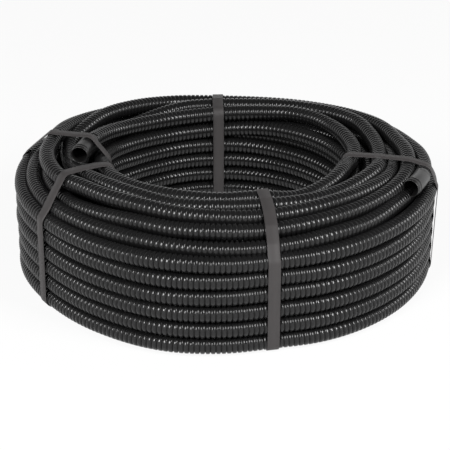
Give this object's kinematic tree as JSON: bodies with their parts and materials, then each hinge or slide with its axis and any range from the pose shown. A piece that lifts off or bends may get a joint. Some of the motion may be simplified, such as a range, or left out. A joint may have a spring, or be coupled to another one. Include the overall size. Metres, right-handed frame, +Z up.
{
  "type": "corrugated conduit coil",
  "caption": "Coil of black corrugated plastic cable conduit, wound flat and held round its section by grey packing straps.",
  "frame": {"origin": "on the floor at the coil's axis, under the middle of the bore", "axes": "+Z up along the bore, -Y towards the front, +X to the right"},
  "size_m": [0.516, 0.5172, 0.1651],
  "materials": {
    "conduit": "glossy",
    "strap": "matte"
  },
  "bodies": {
    "root": {"conduit": "conduit", "strap_front": "strap", "strap_right": "strap", "strap_back": "strap", "strap_left_front": "strap", "strap_left_back": "strap"}
  },
  "joints": []
}
